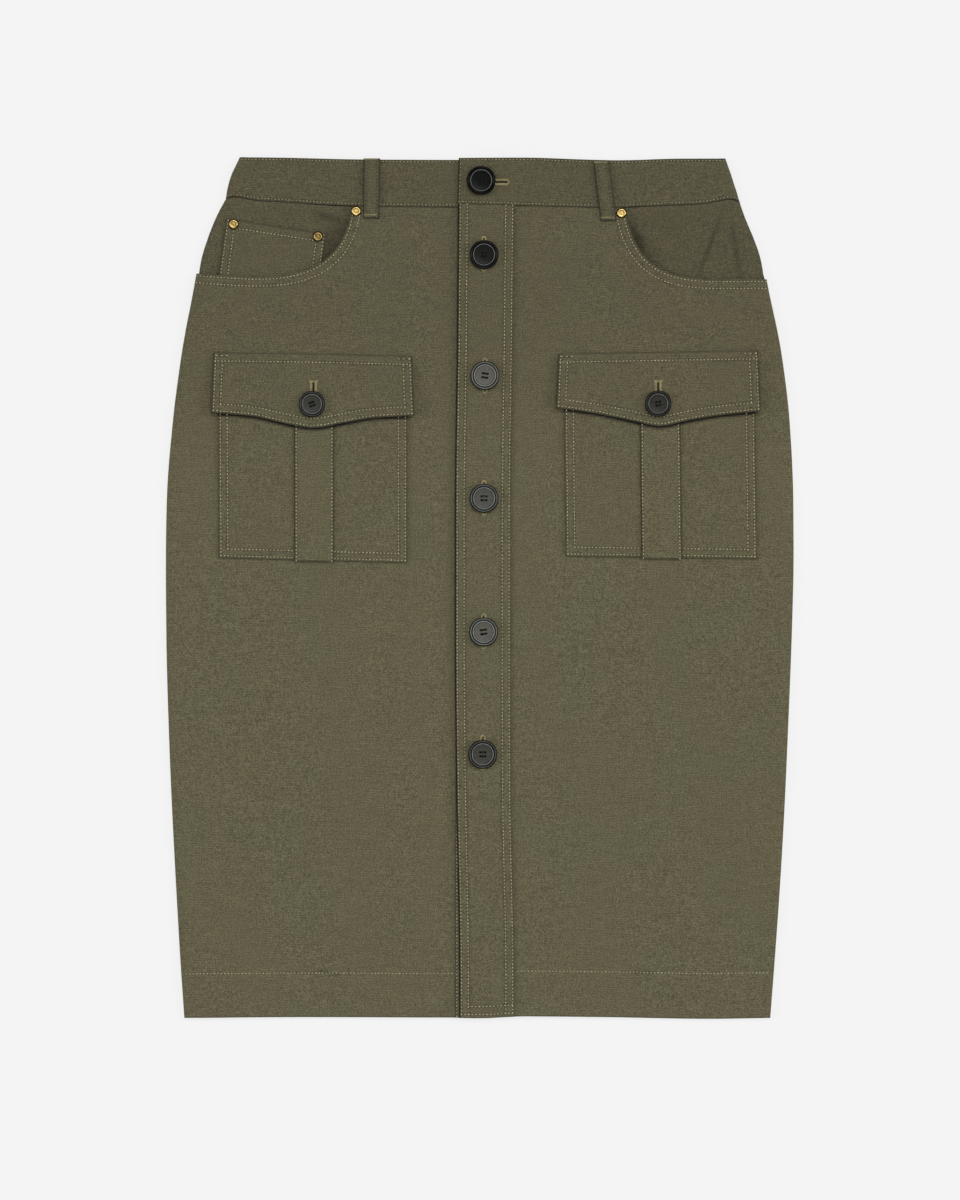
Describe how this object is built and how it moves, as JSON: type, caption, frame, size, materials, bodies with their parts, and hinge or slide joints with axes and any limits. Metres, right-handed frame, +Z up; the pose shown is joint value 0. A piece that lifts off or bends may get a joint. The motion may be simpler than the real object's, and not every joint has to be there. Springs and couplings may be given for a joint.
{
  "type": "cargo utility skirt",
  "caption": "Straight olive cotton twill skirt laid flat: button placket, jeans-style hip pockets with rivets, flapped cargo pockets with a strip, waistband with belt loops.",
  "frame": {"origin": "middle of the skirt's outline, on the surface that it lies on", "axes": "+Y from the hem to the waist, +Z up out of the front, +X to the right of a person looking down at the front"},
  "size_m": [0.4774, 0.655, 0.0117],
  "materials": {
    "twill": "matt cotton twill with a fine diagonal rib",
    "button": "satin black resin, turned and polished",
    "rivet": "pressed brass cap, lightly hammered"
  },
  "bodies": {
    "root": {"back_panel": "twill", "waistband_back": "twill", "hip_facing_left": "twill", "hip_facing_right": "twill", "coin_pocket": "twill", "front_panel_left": "twill", "front_panel_right": "twill", "button_stand": "twill", "placket": "twill", "waistband_left": "twill", "waistband_right": "twill", "belt_loop_left": "twill", "belt_loop_right": "twill", "cargo_pocket_left": "twill", "cargo_pocket_right": "twill", "pocket_strip_left": "twill", "pocket_strip_right": "twill", "pocket_flap_left": "twill", "pocket_flap_right": "twill", "button_waist": "button", "button_front_1": "button", "button_front_2": "button", "button_front_3": "button", "button_front_4": "button", "button_front_5": "button", "button_pocket_left": "button", "button_pocket_right": "button", "rivet_hip_left": "rivet", "rivet_hip_right": "rivet", "rivet_coin_outer": "rivet", "rivet_coin_inner": "rivet"}
  },
  "joints": []
}
